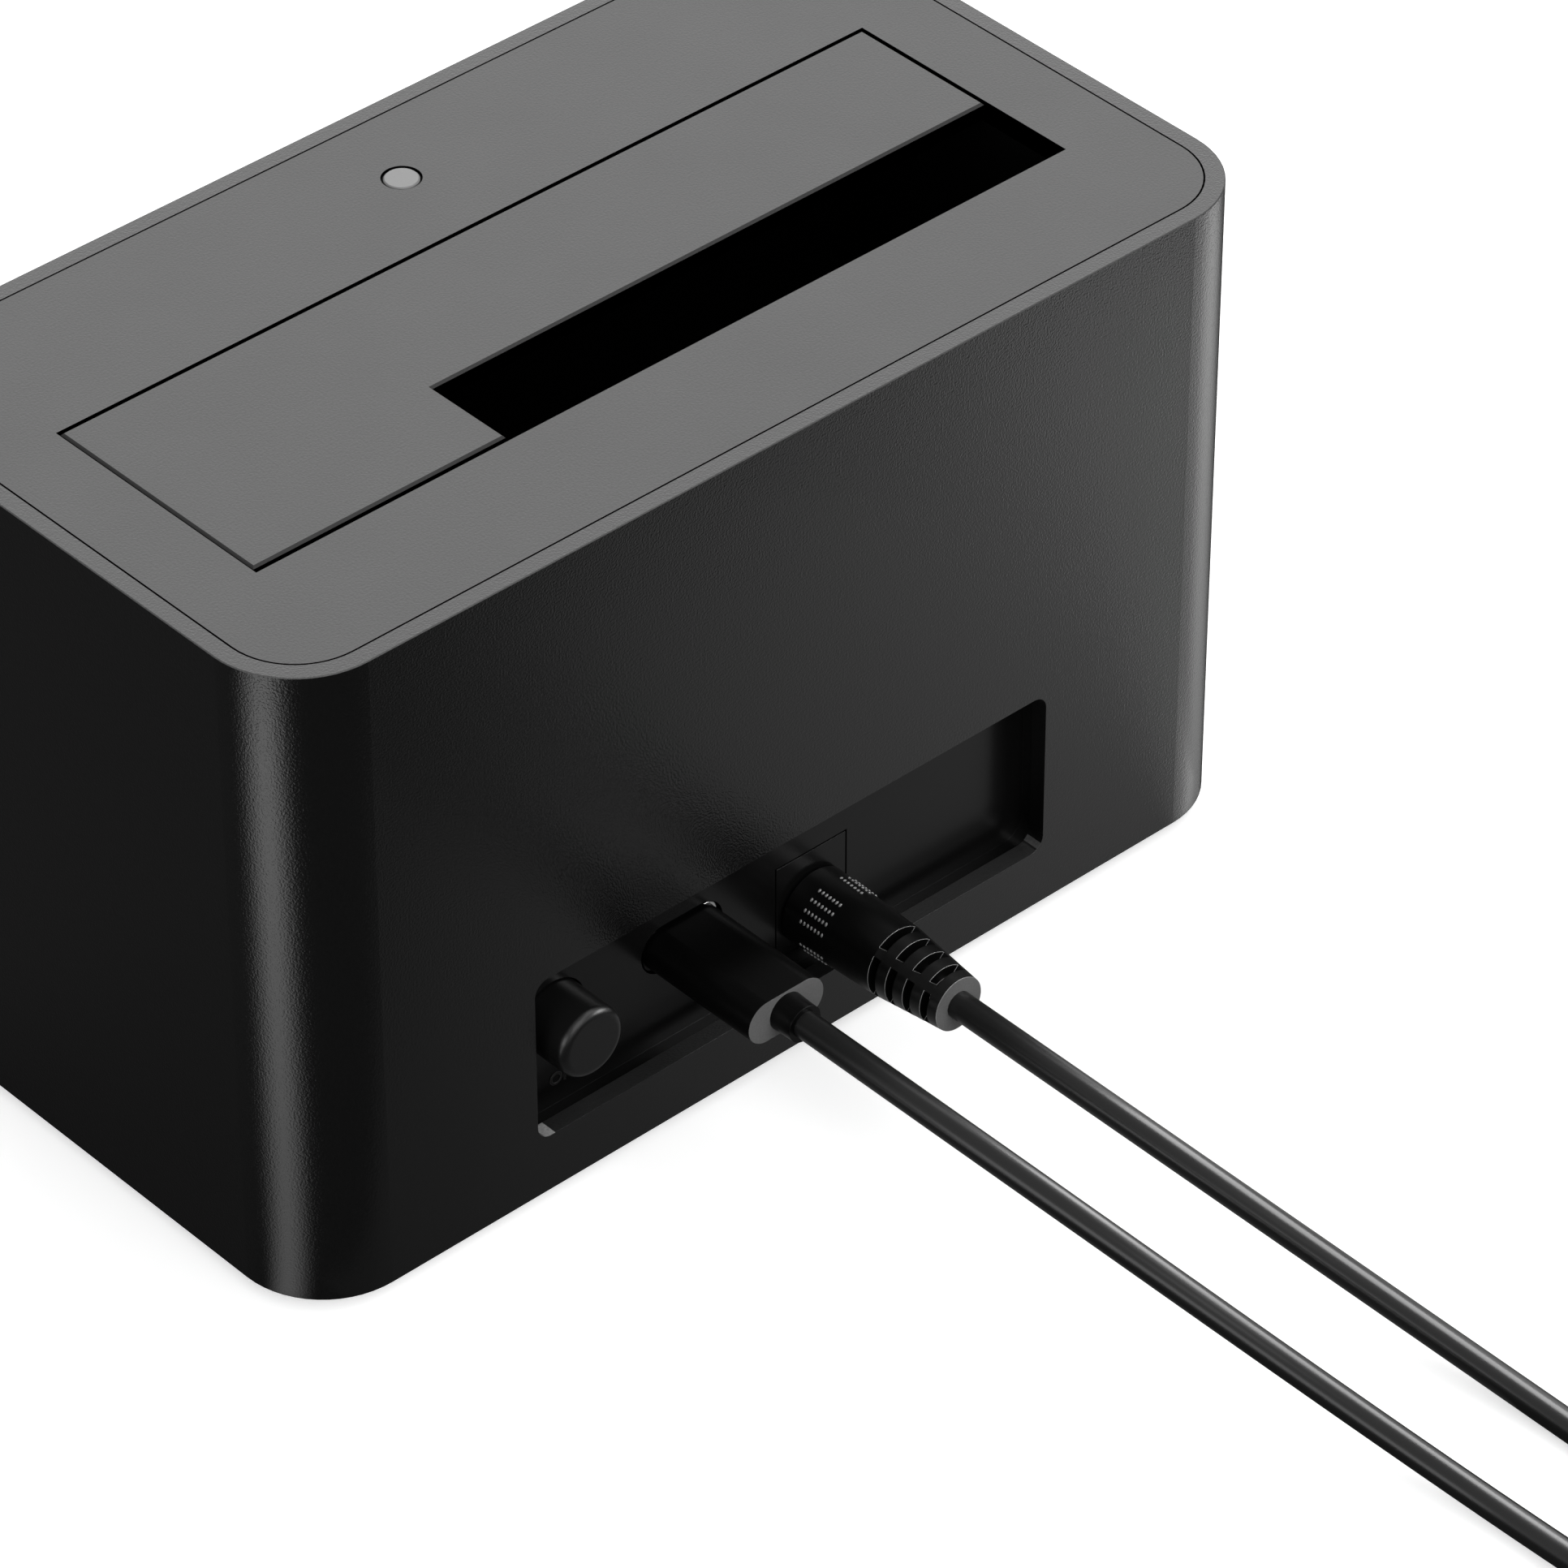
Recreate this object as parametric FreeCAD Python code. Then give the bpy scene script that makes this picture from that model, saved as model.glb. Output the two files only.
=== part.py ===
import FreeCAD, Part
import math
import os

from FreeCAD import Placement, Rotation, Vector

# Upright docking station for one bare disk drive, in millimetres.
# X runs along the drive slot, the ports face +Y and +Z is up. The origin is the middle of the
# body's footprint, at the height of the surface that the feet stand on.

# Body
body_length = 126.0
body_width = 70.0
body_height = 76.0
corner_radius = 10.0
wall = 2.0
rim_edge = 0.1
seam = 0.2
ledge_width = 1.5
ledge_height = 1.6
foot_stand = 1.5

# Top panel and drive slot
panel_thickness = 2.5
panel_pilot_depth = 2.0
slot_length = 104.0
slot_width = 29.8
slot_back_inset = 17.3
notch_length = 72.8
notch_width = 11.5
light_radius = 2.05
light_sleeve_wall = 0.15
light_sleeve_sink = 0.3
light_front_inset = 12.1
light_stem_radius = 1.2
light_edge = 0.15
lamp_width = 3.2
lamp_height = 1.8
lamp_lens_radius = 1.05

# Flap
flap_thickness = 2.0
flap_gap = 0.3
flap_free_gap = 0.8
flap_bevel = 0.25
pivot_depth = 4.2
pivot_setback = 1.6
knuckle_radius = 1.2
knuckle_length = 8.0
knuckle_end_inset = 14.0
pin_radius = 0.75
pin_fit = 0.05
stop_lip_reach = 0.3
stop_lip_thickness = 0.8
stop_lip_gap = 0.15
flap_rib_depth = 0.8
flap_rib_width = 1.0
flap_ribs = 5
spring_wire_radius = 0.25
spring_radius = 1.2
spring_pitch = 0.5
spring_leg_length = 8.0
spring_leg_lean = 4.0
spring_turns = 5
spring_side_gap = 1.0

# Drive bay
bay_wall = 1.6
bay_floor_thickness = 2.0
bay_floor_clearance = 2.55
bay_flange_thickness = 2.0
bay_front_room = 3.3
bay_back_room = 0.8
guide_pairs = 5
guide_width = 2.4
guide_height = 13.0
back_guide_height = 38.0
front_guide_depth = 6.0
post_radius = 3.0
post_inset_x = 7.5
post_inset_y = 8.5
post_pilot_depth = 12.0

# Boards and connectors
board_height = 19.65
board_thickness = 1.6
board_length = 100.0
board_width = 56.4
board_back_inset = 6.6
board_corner = 2.0
board_boss_radius = 2.6
board_boss_inset = 4.0
board_boss_front_y = -12.0
board_boss_back_y = 5.0
sata_inset = 23.0
sata_back_inset = 4.5
sata_length = 39.0
sata_width = 5.8
sata_height = 9.4
sata_base_length = 44.0
sata_base_width = 8.0
sata_base_height = 2.3
sata_slot_depth = 6.0
sata_slot_width = 1.4
sata_signal_length = 10.6
sata_power_length = 20.9
sata_key_reach = 1.3
sata_divider = 2.4
contact_pitch = 1.27
contact_width = 0.6
contact_thickness = 0.2
signal_contacts = 7
power_contacts = 15
chip_x = 4.0
chip_y = -6.0
chip_size = 9.0
chip_height = 0.9
power_parts_inset = 5.6
coil_x = -36.0
coil_size = 10.0
coil_pitch = 14.0
coil_height = 6.0
can_x = 20.0
can_pitch = 9.6
can_radius = 3.2
can_height = 9.0

# Port window in the back wall
window_length = 68.2
window_height = 19.85
window_sill = 7.0
window_corner = 1.7
port_panel_depth = 2.0
port_panel_thickness = 1.5
port_panel_setback = 0.8
port_rim_width = 1.6
port_ear_length = 7.0
port_ear_height = 8.0

# Power button
button_x = 28.5
button_drop = 2.05
button_radius = 3.97
button_edge_round = 0.9
button_stand = 6.1
button_flange_reach = 0.75
button_flange_thickness = 1.2
button_travel = 1.8
button_hole_gap = 0.2
plunger_radius = 1.2
switch_size = 7.2
switch_end_gap = 0.5
plunger_seat = 5.0
plunger_reach = 1.5

# Data socket and plug
usb_x = 11.6
usb_shell_length = 7.3
usb_shell_width = 8.94
usb_shell_height = 3.26
usb_shell_wall = 0.3
usb_mouth_width = 9.6
usb_mouth_height = 4.6
usb_mouth_corner = 1.3
usb_mouth_depth = 0.8
usb_tongue_width = 6.69
usb_tongue_thickness = 0.7
usb_tongue_length = 4.9
usb_tip_width = 8.25
usb_tip_height = 2.4
usb_tip_length = 6.2
usb_tip_seat = 1.5
usb_plug_width = 9.85
usb_plug_height = 4.9
usb_plug_length = 15.5
usb_plug_inset = 0.25
usb_cutout_gap = 0.45
usb_collar_length = 2.75
usb_collar_taper = 2.2
usb_collar_root = 2.15
usb_collar_end = 2.07

# Power socket and plug
dc_x = -5.65
dc_drop = 6.6
dc_jack_width = 9.3
dc_jack_height = 11.4
dc_jack_length = 14.2
dc_bore_radius = 3.2
dc_bore_depth = 10.0
dc_pin_radius = 1.0
dc_pin_setback = 1.0
dc_barrel_radius = 2.75
dc_barrel_bore = 1.05
dc_barrel_length = 9.5
dc_barrel_seat = 3.0
dc_pin_seat = 3.0
dc_plug_root = 4.37
dc_plug_waist = 3.98
dc_plug_end = 3.05
dc_plug_gap = 0.15
dc_plug_edge = 0.4
dc_grip_length = 12.5
dc_relief_length = 8.9
dc_slot_count = 4
dc_slot_pitch = 2.25
dc_slot_width = 0.95
dc_spine_width = 1.0
dc_core_radius = 1.95

# Base
base_thickness = 2.5
foot_radius = 5.0
foot_height = 2.5
foot_inset_x = 18.0
foot_inset_y = 11.0
screw_radius = 1.1
screw_head_radius = 2.1
screw_head_height = 1.2
screw_fit = 0.1
base_screw_length = 10.0
board_screw_length = 4.5
foot_edge = 0.5

# Cords and what lies at their far ends
cord_radius = 1.5
cord_rest = 0.05
arc_share = 0.45
dc_cord_drop_y = 74.0
dc_cord_floor_y = 111.0
usb_cord_drop_y = 75.0
usb_cord_floor_y = 118.0
usb_cord_rise_y = 148.0
usb_cord_rise = 0.4
view_lean_dc = 0.831
view_lean_usb = 0.805
dc_coil_y = 146.0
dc_coil_radius = 18.0
dc_coil_turns = 4.5
usb_coil_y = 175.0
usb_coil_radius = 16.5
usb_coil_turns = 4.0
coil_layers = 2
adapter_length = 64.0
adapter_width = 40.0
adapter_height = 28.0
adapter_corner = 5.0
adapter_edge = 1.2
adapter_exit_inset = 8.0
adapter_relief_root = 3.0
adapter_relief_end = 2.0
adapter_gap = 2.0
blade_width = 6.35
blade_thickness = 1.5
blade_length = 17.0
blade_spacing = 12.7
blade_end_inset = 18.0

# Places worked out from the sizes above
body_bottom = foot_stand
body_top = body_bottom + body_height
half_length = body_length / 2
half_width = body_width / 2
inner_length = body_length - 2 * wall
inner_width = body_width - 2 * wall
inner_radius = corner_radius - wall
panel_bottom = body_top - panel_thickness
base_top = body_bottom + base_thickness

slot_left = -slot_length / 2
slot_right = slot_length / 2
slot_back = half_width - slot_back_inset
slot_front = slot_back - slot_width
notch_end = slot_left + notch_length
notch_front = slot_back - notch_width
light_y = -half_width + light_front_inset

pivot_y = slot_front - pivot_setback
pivot_z = body_top - pivot_depth
flap_bottom = body_top - flap_thickness

bay_front = slot_front - bay_front_room
bay_back = slot_back + bay_back_room
flange_bottom = panel_bottom - bay_flange_thickness
post_x = half_length - post_inset_x
post_y = half_width - post_inset_y

board_underside = body_bottom + board_height
board_top = board_underside + board_thickness
bay_floor_bottom = board_top + bay_floor_clearance
bay_floor_top = bay_floor_bottom + bay_floor_thickness
board_back = half_width - board_back_inset
board_front = board_back - board_width
board_boss_x = board_length / 2 - board_boss_inset
power_parts_y = board_front + power_parts_inset
sata_x = slot_left + sata_inset
sata_y = slot_back - sata_back_inset
sata_top = board_top + sata_height

inner_back = half_width - wall
port_face = inner_back - port_panel_depth
port_back = port_face - port_panel_thickness
window_bottom = body_bottom + window_sill
window_top = window_bottom + window_height
button_z = board_underside - button_drop
switch_front = port_back - button_hole_gap - button_flange_thickness - button_travel - switch_end_gap
usb_z = board_underside - usb_shell_height / 2
dc_z = board_underside - dc_drop

cord_z = cord_radius + cord_rest
cord_upper_z = cord_z + 2 * cord_radius
usb_plug_front = port_face - usb_plug_inset
usb_plug_back = usb_plug_front + usb_plug_length
usb_cord_start = usb_plug_back + usb_collar_length
dc_plug_front = port_face + dc_plug_gap
dc_cord_start = dc_plug_front + dc_grip_length + dc_relief_length
dc_floor_x = dc_x - view_lean_dc * (dc_z - cord_z)
usb_floor_x = usb_x - view_lean_usb * (usb_z - cord_z)
dc_outer_turn = dc_coil_radius + dc_coil_turns * cord_radius
usb_outer_turn = usb_coil_radius + usb_coil_turns * cord_radius
adapter_y = dc_coil_y + dc_outer_turn + cord_radius + adapter_gap
adapter_right = dc_floor_x + adapter_exit_inset


# Helpers
def box(x0, x1, y0, y1, z0, z1):
    return Part.makeBox(x1 - x0, y1 - y0, z1 - z0, Vector(x0, y0, z0))


def cylinder(radius, x, y, z0, z1):
    return Part.makeCylinder(radius, z1 - z0, Vector(x, y, z0))


def rod(radius, length, y, z):
    """Round bar along X, with its middle at x = 0."""
    return Part.makeCylinder(radius, length, Vector(-length / 2, y, z), Vector(1, 0, 0))


def rounded_prism(length, width, radius, height):
    """Upright prism with rounded corners, centred on the origin and standing on z = 0."""
    half_x = length / 2
    half_y = width / 2
    radius = min(radius, half_x, half_y)
    edges = []
    corners = ((1, 1, 0), (-1, 1, 90), (-1, -1, 180), (1, -1, 270))
    ends = []
    for sign_x, sign_y, start in corners:
        centre = Vector(sign_x * (half_x - radius), sign_y * (half_y - radius), 0)
        points = []
        for angle in (start, start + 45, start + 90):
            turn = math.radians(angle)
            points.append(centre + Vector(radius * math.cos(turn), radius * math.sin(turn), 0))
        edges.append(Part.Arc(*points).toShape())
        ends.append((points[0], points[2]))
    for index, (_, finish) in enumerate(ends):
        following = ends[(index + 1) % len(ends)][0]
        if finish.distanceToPoint(following) > 1e-6:
            edges.append(Part.LineSegment(finish, following).toShape())
    wire = Part.Wire(Part.__sortEdges__(edges))
    return Part.Face(wire).extrude(Vector(0, 0, height))


def along_y(shape, x, y, z):
    """Turn a piece built up along Z so that it runs along +Y from the point given."""
    shape.Placement = Placement(Vector(x, y, z), Rotation(Vector(0, 1, 1), 180))
    return shape


def turned(points):
    """Solid of revolution about Z from (radius, height) corners."""
    corners = [Vector(radius, 0, height) for radius, height in points]
    outline = Part.makePolygon(corners + [corners[0]])
    return Part.Face(outline).revolve(Vector(0, 0, 0), Vector(0, 0, 1), 360)


def side_prism(outline, x0, x1):
    """Prism along X from (y, z) corners."""
    corners = [Vector(x0, y, z) for y, z in outline]
    return Part.Face(Part.makePolygon(corners + [corners[0]])).extrude(Vector(x1 - x0, 0, 0))


def edges_at_height(shape, height):
    level = []
    for edge in shape.Edges:
        bounds = edge.BoundBox
        if abs(bounds.ZMin - height) < 1e-4 and abs(bounds.ZMax - height) < 1e-4:
            level.append(edge)
    return level


def mirrored_places(x, y):
    return [(x, y), (-x, y), (-x, -y), (x, -y)]


def fuse_all(first, others):
    return first.multiFuse(others).removeSplitter() if others else first


def screw(x, y, seat, length):
    """Pan-head screw with its head below the seat and its shank going up."""
    head = cylinder(screw_head_radius, x, y, seat - screw_head_height, seat)
    shank = cylinder(screw_radius - screw_fit, x, y, seat, seat + length)
    return head.fuse(shank)


def save(name, shape):
    solids = shape.Solids
    print(name, "solids", len(solids), "volume", round(shape.Volume, 1), "valid", shape.isValid())
    shape.exportStep(os.path.join("parts", name + ".step"))


# Body
def inner_ring(inset, z0, z1):
    outer = rounded_prism(inner_length, inner_width, inner_radius, z1 - z0)
    hole = rounded_prism(inner_length - 2 * inset, inner_width - 2 * inset, inner_radius - inset, z1 - z0)
    ring = outer.cut(hole)
    ring.translate(Vector(0, 0, z0))
    return ring


def port_boss_places():
    x = window_length / 2 + port_panel_setback + port_rim_width + port_ear_length / 2
    z = (window_bottom + window_top) / 2
    return [(-x, z), (x, z)]


def housing():
    """Moulded sleeve with ledges for the top panel and the base, and the port window."""
    outer = rounded_prism(body_length, body_width, corner_radius, body_height)
    outer = outer.makeChamfer(rim_edge, edges_at_height(outer, body_height) + edges_at_height(outer, 0))
    sleeve = outer.cut(rounded_prism(inner_length, inner_width, inner_radius, body_height))
    sleeve.translate(Vector(0, 0, body_bottom))
    upper_ledge = inner_ring(ledge_width, panel_bottom - ledge_height, panel_bottom)
    lower_ledge = inner_ring(ledge_width, base_top, base_top + ledge_height)
    bosses = []
    for x, z in port_boss_places():
        boss = Part.makeCylinder(post_radius, port_panel_depth + wall / 2)
        bosses.append(along_y(boss, x, port_face, z))
    sleeve = fuse_all(sleeve, [upper_ledge, lower_ledge] + bosses)
    window = rounded_prism(window_length, window_height, window_corner, 2 * wall)
    sleeve = sleeve.cut(along_y(window, 0, inner_back - wall / 2, (window_bottom + window_top) / 2))
    for x, z in port_boss_places():
        pilot = Part.makeCylinder(screw_radius, port_panel_depth + wall / 2)
        sleeve = sleeve.cut(along_y(pilot, x, port_face, z))
    return sleeve


def bay_screw_places():
    return mirrored_places(slot_length / 4, half_width - wall - 2 * ledge_width - screw_head_radius)


def top_panel():
    """Flush lid with the drive slot and the hole of the status light."""
    inset = 2 * (wall + seam)
    panel = rounded_prism(body_length - inset, body_width - inset, inner_radius - seam, panel_thickness)
    panel.translate(Vector(0, 0, panel_bottom))
    panel = panel.cut(box(slot_left, slot_right, slot_front, slot_back, panel_bottom, body_top))
    panel = panel.cut(cylinder(light_radius + pin_fit, 0, light_y, panel_bottom, body_top))
    for x, y in bay_screw_places():
        panel = panel.cut(cylinder(screw_radius, x, y, panel_bottom, panel_bottom + panel_pilot_depth))
    return panel


def flap_knuckle_spans():
    side = slot_right - knuckle_end_inset - knuckle_length / 2
    return [(middle - knuckle_length / 2, middle + knuckle_length / 2) for middle in (-side, 0, side)]


def flap_rib_places():
    return [slot_left + slot_length * step / (flap_ribs + 1) for step in range(1, flap_ribs + 1)]


def flap():
    """L-shaped sprung flap with goose-neck knuckles, stiffening ribs and a stop lip."""
    left = slot_left + flap_gap
    right = slot_right - flap_gap
    front = slot_front + flap_gap
    back = slot_back - flap_free_gap
    plate = box(left, right, front, notch_front, flap_bottom, body_top)
    plate = plate.fuse(box(notch_end, right, notch_front, back, flap_bottom, body_top)).removeSplitter()
    plate = plate.makeChamfer(flap_bevel, edges_at_height(plate, body_top))

    lip_top = panel_bottom - stop_lip_gap
    lip_bottom = lip_top - stop_lip_thickness
    web_front = back - stop_lip_thickness
    lip_back = slot_back + stop_lip_reach
    lip_outline = [(web_front, flap_bottom), (web_front, lip_bottom), (lip_back, lip_bottom),
                   (lip_back, lip_top), (back, lip_top), (back, flap_bottom)]
    extras = [side_prism(lip_outline, notch_end + knuckle_length, right - knuckle_length)]

    for x0, x1 in flap_knuckle_spans():
        round_end = rod(knuckle_radius, x1 - x0, pivot_y, pivot_z)
        round_end.translate(Vector((x0 + x1) / 2, 0, 0))
        neck = [(pivot_y, pivot_z + knuckle_radius), (front, pivot_z + knuckle_radius), (front, flap_bottom),
                (front + pivot_setback, flap_bottom), (front + pivot_setback, pivot_z),
                (front, pivot_z - knuckle_radius), (pivot_y, pivot_z - knuckle_radius)]
        extras += [round_end, side_prism(neck, x0, x1)]

    rib_front = front + pivot_setback
    rib_bottom = flap_bottom - flap_rib_depth
    for x in flap_rib_places():
        rib_end = (notch_front if x < notch_end else web_front) - flap_rib_width
        extras.append(box(x, x + flap_rib_width, rib_front, rib_end, rib_bottom, flap_bottom))
    return fuse_all(plate, extras).cut(rod(pin_radius + pin_fit, slot_length, pivot_y, pivot_z))


def flap_hinge_pin():
    return rod(pin_radius, slot_length + 2 * bay_wall, pivot_y, pivot_z)


def flap_spring():
    """Closely wound torsion spring: one leg runs under the flap, the other down the bay wall."""
    inner = spring_radius - spring_wire_radius - screw_fit / 2
    height = spring_turns * spring_pitch
    outline = [(inner, 0)]
    for step in range(spring_turns):
        outline.append((spring_radius, step * spring_pitch))
        outline.append((spring_radius + spring_wire_radius, (step + 0.5) * spring_pitch))
    coil = turned(outline + [(spring_radius, height), (inner, height)])
    lean = math.radians(spring_leg_lean)
    flap_leg = Part.makeCylinder(spring_wire_radius, spring_leg_length,
                                 Vector(0, spring_radius, spring_pitch / 2),
                                 Vector(math.cos(lean), math.sin(lean), 0))
    wall_leg = Part.makeCylinder(spring_wire_radius, spring_leg_length,
                                 Vector(-spring_radius, 0, height - spring_pitch / 2), Vector(0, -1, 0))
    spring = coil.multiFuse([flap_leg, wall_leg])
    place = Vector(knuckle_length / 2 + spring_side_gap, pivot_y, pivot_z)
    spring.Placement = Placement(place, Rotation(Vector(1, 1, 1), 120))
    return spring


# Drive bay
def guide(x, width, wall_y, depth_sign, depth, height):
    """Guide rib standing on the bay floor with a sloping lead-in at its top."""
    face = wall_y + depth_sign * depth
    outline = [(wall_y, bay_floor_top), (face, bay_floor_top), (face, bay_floor_top + height - depth),
               (wall_y, bay_floor_top + height)]
    return side_prism(outline, x - width / 2, x + width / 2)


def bay_frame():
    """Open-topped bay hung from a flange, with drive guides, board bosses and long posts."""
    inset = ledge_width + 2 * seam
    flange = rounded_prism(inner_length - 2 * inset, inner_width - 2 * inset, inner_radius - inset,
                           bay_flange_thickness)
    flange.translate(Vector(0, 0, flange_bottom))
    tub = box(slot_left - bay_wall, slot_right + bay_wall, bay_front - bay_wall, bay_back + bay_wall,
              bay_floor_bottom, panel_bottom)
    additions = [tub]
    for x, y in mirrored_places(post_x, post_y):
        additions.append(cylinder(post_radius, x, y, base_top, flange_bottom))
    for x in (-board_boss_x, board_boss_x):
        for y in (board_boss_front_y, board_boss_back_y):
            additions.append(cylinder(board_boss_radius, x, y, board_top, bay_floor_bottom))
    frame = fuse_all(flange, additions)

    frame = frame.cut(box(slot_left, slot_right, bay_front, bay_back, bay_floor_top, panel_bottom))
    guides = []
    for step in range(guide_pairs):
        x = (step - (guide_pairs - 1) / 2) * slot_length / guide_pairs
        guides.append(guide(x, guide_width, bay_back, -1, bay_back_room, back_guide_height))
        guides.append(guide(x, guide_width, bay_front, 1, front_guide_depth, guide_height))
    frame = fuse_all(frame, guides)

    cuts = [box(sata_x - sata_length / 2 - 2 * seam, sata_x + sata_length / 2 + 2 * seam,
                sata_y - sata_width / 2 - 2 * seam, sata_y + sata_width / 2 + 2 * seam,
                bay_floor_bottom, bay_floor_top),
            cylinder(light_stem_radius + seam, 0, light_y, flange_bottom, panel_bottom),
            rod(pin_radius + pin_fit, slot_length + 4 * bay_wall, pivot_y, pivot_z)]
    for x, y in mirrored_places(post_x, post_y):
        cuts.append(cylinder(screw_radius, x, y, base_top, base_top + post_pilot_depth))
    for x, y in bay_screw_places():
        cuts.append(cylinder(screw_radius, x, y, flange_bottom, panel_bottom))
    for x in (-board_boss_x, board_boss_x):
        for y in (board_boss_front_y, board_boss_back_y):
            cuts.append(cylinder(screw_radius, x, y, board_top, bay_floor_bottom + bay_floor_thickness / 2))
    return frame.cut(Part.makeCompound(cuts))


# Status light
def light_bezel():
    """Thin dark sleeve that keeps the light out of the lid, sunk a little below its top."""
    sleeve_top = body_top - light_sleeve_sink
    ring = cylinder(light_radius, 0, light_y, panel_bottom, sleeve_top)
    return ring.cut(cylinder(light_radius - light_sleeve_wall, 0, light_y, panel_bottom, sleeve_top))


def light_pipe():
    """Clear pin that carries the light of the board's lamp up to the lid."""
    lamp_top = board_top + lamp_height
    head = cylinder(light_radius - light_sleeve_wall - pin_fit, 0, light_y, panel_bottom, body_top)
    head = head.makeChamfer(light_edge, edges_at_height(head, body_top))
    return head.fuse(cylinder(light_stem_radius, 0, light_y, lamp_top + seam, panel_bottom)).removeSplitter()


def status_lamp():
    case = box(-lamp_width / 2, lamp_width / 2, light_y - lamp_width / 2, light_y + lamp_width / 2,
               board_top, board_top + lamp_height / 2)
    return case.fuse(cylinder(lamp_lens_radius, 0, light_y, board_top, board_top + lamp_height))


# Boards
def board_screw_places():
    return [(x, y) for x in (-board_boss_x, board_boss_x) for y in (board_boss_front_y, board_boss_back_y)]


def main_board():
    """Circuit board hung under the bay, notched for the power button."""
    board = rounded_prism(board_length, board_width, board_corner, board_thickness)
    board.translate(Vector(0, (board_back + board_front) / 2, board_underside))
    notch_half = button_radius + button_flange_reach + 2 * flap_free_gap
    board = board.cut(box(button_x - notch_half, button_x + notch_half, switch_front, board_back,
                          board_underside, board_top))
    for x, y in board_screw_places():
        board = board.cut(cylinder(screw_radius, x, y, board_underside, board_top))
    return board


def bridge_chip():
    return box(chip_x, chip_x + chip_size, chip_y, chip_y + chip_size, board_top, board_top + chip_height)


def power_coils():
    coils = []
    for step in range(2):
        x = coil_x + step * coil_pitch
        core = rounded_prism(coil_size, coil_size, coil_size / 6, coil_height)
        core.translate(Vector(x, power_parts_y, board_top))
        coils.append(core)
    return Part.makeCompound(coils)


def capacitors():
    cans = []
    for step in range(3):
        x = can_x + step * can_pitch
        cans.append(cylinder(can_radius, x, power_parts_y, board_top, board_top + can_height))
    return Part.makeCompound(cans)


def sata_slots():
    """The two L-shaped slots as (x0, x1, key_x0) along the receptacle."""
    total = sata_signal_length + sata_divider + sata_power_length
    left = sata_x - total / 2
    signal = (left, left + sata_signal_length, left)
    power_left = signal[1] + sata_divider
    power = (power_left, power_left + sata_power_length, power_left + sata_power_length - sata_slot_width)
    return signal, power


def drive_socket():
    """Upright drive receptacle with its two keyed slots."""
    body = box(sata_x - sata_length / 2, sata_x + sata_length / 2, sata_y - sata_width / 2,
               sata_y + sata_width / 2, board_top, sata_top)
    base = box(sata_x - sata_base_length / 2, sata_x + sata_base_length / 2, sata_y - sata_base_width / 2,
               sata_y + sata_base_width / 2, board_top, board_top + sata_base_height)
    body = body.fuse(base).removeSplitter()
    floor = sata_top - sata_slot_depth
    slot_face = sata_y - sata_slot_width / 2
    for x0, x1, key in sata_slots():
        slot = box(x0, x1, slot_face, slot_face + sata_slot_width, floor, sata_top)
        leg = box(key, key + sata_slot_width, slot_face - sata_key_reach, sata_y, floor, sata_top)
        body = body.cut(slot.fuse(leg))
    return body


def drive_contacts():
    """Flat contact blades standing against the back wall of both slots."""
    blades = []
    back = sata_y + sata_slot_width / 2
    for (x0, x1, _), count in zip(sata_slots(), (signal_contacts, power_contacts)):
        first = (x0 + x1 - (count - 1) * contact_pitch) / 2
        for step in range(count):
            x = first + step * contact_pitch
            blades.append(box(x - contact_width / 2, x + contact_width / 2, back - contact_thickness, back,
                              sata_top - sata_slot_depth, sata_top - contact_width))
    return Part.makeCompound(blades)


# Ports
def port_panel():
    """Sunk panel behind the port window, with a rim on the housing and two screw ears."""
    middle_z = (window_bottom + window_top) / 2
    clear_length = window_length + 2 * port_panel_setback
    clear_height = window_height + 2 * port_panel_setback
    length = clear_length + 2 * port_rim_width
    height = clear_height + 2 * port_rim_width
    rim_corner = window_corner + port_panel_setback
    plate = along_y(rounded_prism(length, height, rim_corner + port_rim_width, port_panel_thickness),
                    0, port_back, middle_z)
    rim = rounded_prism(length, height, rim_corner + port_rim_width, port_panel_depth)
    rim = rim.cut(rounded_prism(clear_length, clear_height, rim_corner, port_panel_depth))
    ears = rounded_prism(length + 2 * port_ear_length, port_ear_height, port_ear_height / 4,
                         port_panel_thickness)
    panel = fuse_all(plate, [along_y(rim, 0, port_face, middle_z), along_y(ears, 0, port_back, middle_z)])

    cuts = [along_y(Part.makeCylinder(button_radius + button_hole_gap, port_panel_thickness),
                    button_x, port_back, button_z),
            along_y(rounded_prism(usb_plug_width + 2 * usb_cutout_gap, usb_plug_height + 2 * usb_cutout_gap,
                                  usb_plug_height / 2 + usb_cutout_gap, port_panel_thickness),
                    usb_x, port_back, usb_z),
            box(dc_x - dc_jack_width / 2 - seam, dc_x + dc_jack_width / 2 + seam, port_back, port_face,
                board_underside - dc_jack_height - seam, board_underside + seam)]
    for x, z in port_boss_places():
        cuts.append(along_y(Part.makeCylinder(screw_radius, port_panel_thickness), x, port_back, z))
    return panel.cut(Part.makeCompound(cuts))


def power_button():
    """Round push cap with a retaining flange and a socket for the switch plunger."""
    front = port_face + button_stand
    flange_back = port_back - button_hole_gap - button_flange_thickness
    length = front - flange_back
    cap = Part.makeCylinder(button_radius, length)
    cap = cap.makeFillet(button_edge_round, edges_at_height(cap, length))
    cap = cap.fuse(Part.makeCylinder(button_radius + button_flange_reach, button_flange_thickness))
    socket = Part.makeCylinder(plunger_radius, plunger_seat)
    return along_y(cap.cut(socket).removeSplitter(), button_x, flange_back, button_z)


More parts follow.
